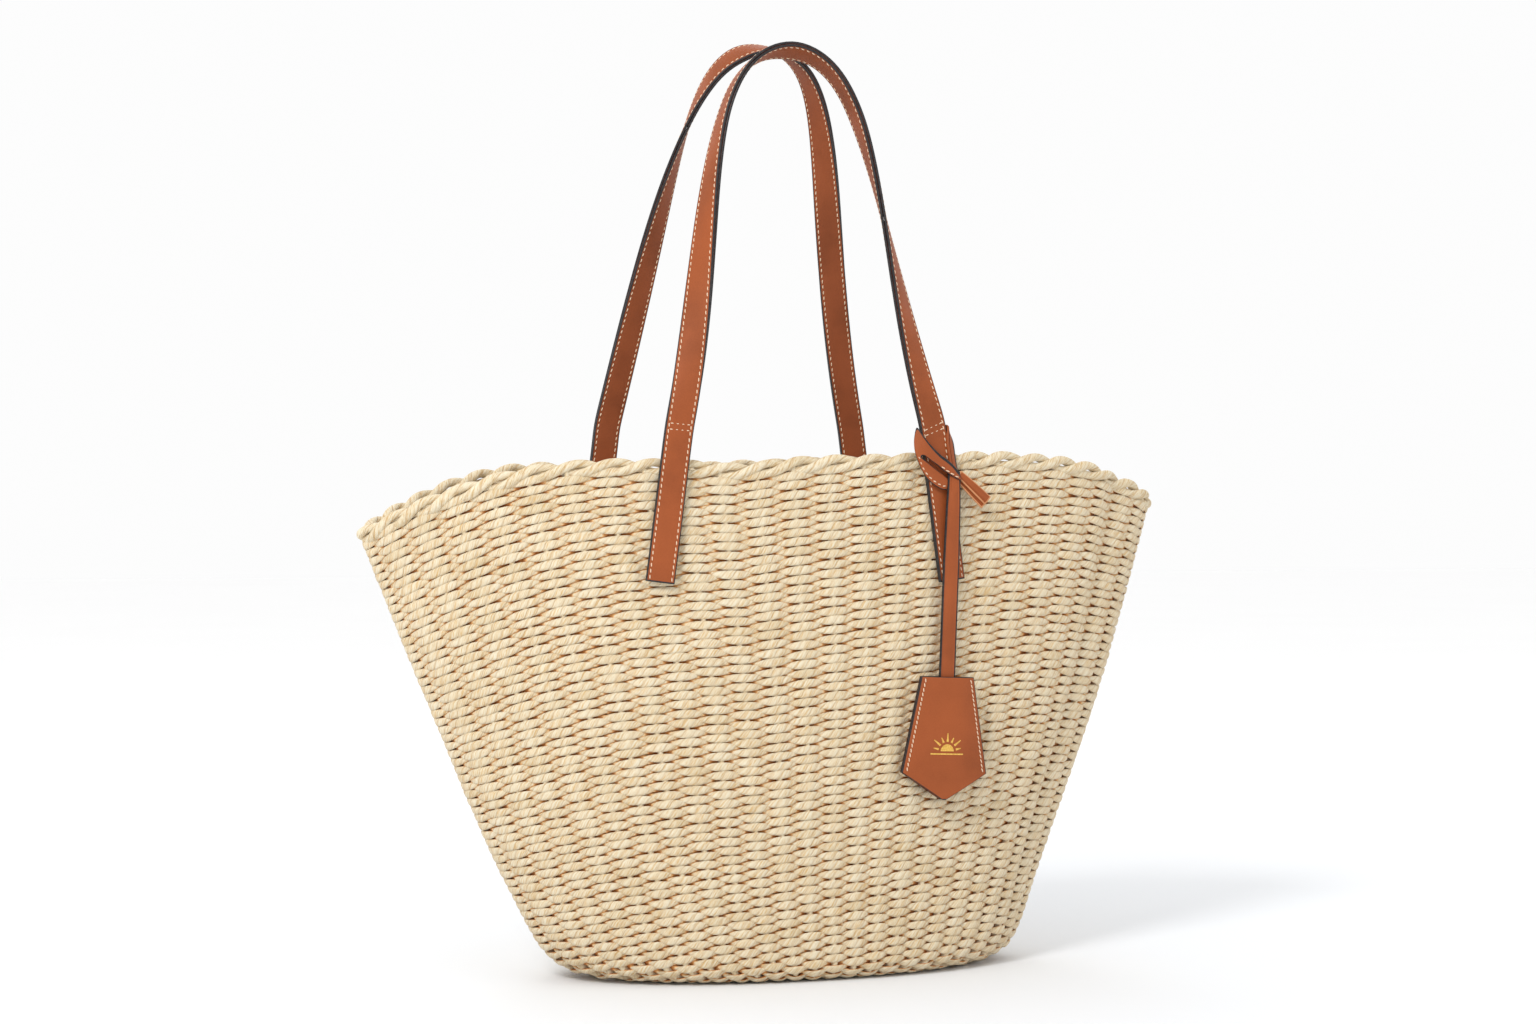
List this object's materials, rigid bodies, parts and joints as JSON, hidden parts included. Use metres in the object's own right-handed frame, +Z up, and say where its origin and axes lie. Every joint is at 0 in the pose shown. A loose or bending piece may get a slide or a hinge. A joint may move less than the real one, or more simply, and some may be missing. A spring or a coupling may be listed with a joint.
{
  "type": "beach bag",
  "caption": "Fan-shaped woven straw tote with an open mouth, leather shoulder handles that fold over, and a hanging leather sleeve tag.",
  "frame": {"origin": "middle of the base, on the surface the bag stands on", "axes": "+X along the bag's length to its right as seen from the front, -Y out of its front, +Z up"},
  "size_m": [0.5646, 0.1733, 0.625],
  "materials": {
    "straw": "twisted natural paper straw, matt",
    "tan_leather": "smooth tan, soft sheen, black painted edges",
    "lining_leather": "smooth brown, matt"
  },
  "bodies": {
    "bag": {"base_mat": "straw", "woven_wall": "straw", "rim_border": "straw", "front_left_tab": "tan_leather", "front_right_tab": "tan_leather", "back_left_tab": "tan_leather", "back_right_tab": "tan_leather", "front_left_backing": "lining_leather", "front_right_backing": "lining_leather", "back_left_backing": "lining_leather", "back_right_backing": "lining_leather", "knot_loop": "tan_leather", "knot_wrap": "tan_leather", "knot_tail": "tan_leather"},
    "front_handle": {"front_handle_outer_strap": "tan_leather", "front_handle_lining": "lining_leather"},
    "back_handle": {"back_handle_outer_strap": "tan_leather", "back_handle_lining": "lining_leather"},
    "tag_hanger": {"tag_strap": "tan_leather", "tag_strap_end": "lining_leather"},
    "tag_sleeve": {"tag_front_panel": "tan_leather", "tag_back_panel": "tan_leather"}
  },
  "joints": [
    {"name": "front_handle_fold", "type": "hinge", "parent": "bag", "child": "front_handle", "pos_m": [-0.015, -0.08073, 0.3625], "axis": [1, 0, 0], "range_deg": [0, 100]},
    {"name": "back_handle_fold", "type": "hinge", "parent": "bag", "child": "back_handle", "pos_m": [-0.015, 0.0805, 0.3625], "axis": [1, 0, 0], "range_deg": [-150, 0]},
    {"name": "tag_strap_swing", "type": "hinge", "parent": "bag", "child": "tag_hanger", "pos_m": [0.0845, -0.0855, 0.3265], "axis": [-1, 0, 0], "range_deg": [0, 80]},
    {"name": "tag_sleeve_slide", "type": "slide", "parent": "tag_hanger", "child": "tag_sleeve", "axis": [0.0401, 0, 0.9992], "range_m": [0, 0.055]}
  ]
}
